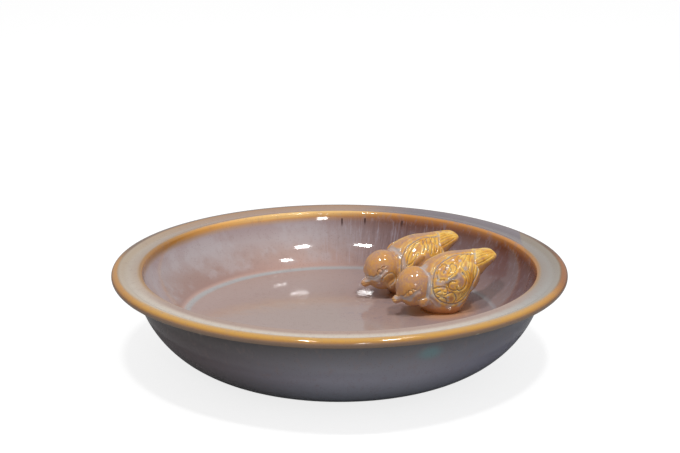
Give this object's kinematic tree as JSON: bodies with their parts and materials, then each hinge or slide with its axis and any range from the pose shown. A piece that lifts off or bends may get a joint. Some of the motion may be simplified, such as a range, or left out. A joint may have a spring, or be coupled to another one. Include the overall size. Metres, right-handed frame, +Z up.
{
  "type": "bird bath",
  "caption": "Shallow round glazed stoneware bird bath with a flat rolled flange and small cast birds drinking from its floor.",
  "frame": {"origin": "centre of the foot ring's resting face", "axes": "+Z up, -Y towards the viewer, +X to the right, with the birds on the right"},
  "size_m": [0.33, 0.3298, 0.0752],
  "materials": {
    "basin_glaze": "glossy mauve-grey reactive glaze, cream on the flange, amber where it thins at the edges, slate outside",
    "bird_glaze": "glossy amber glaze, pooled blue-grey in the carving",
    "bond_glaze": "glossy orange-brown pooled glaze"
  },
  "bodies": {
    "root": {"basin": "basin_glaze", "front_bird": "bird_glaze", "rear_bird": "bird_glaze", "front_bird_bond": "bond_glaze", "rear_bird_bond": "bond_glaze"}
  },
  "joints": []
}
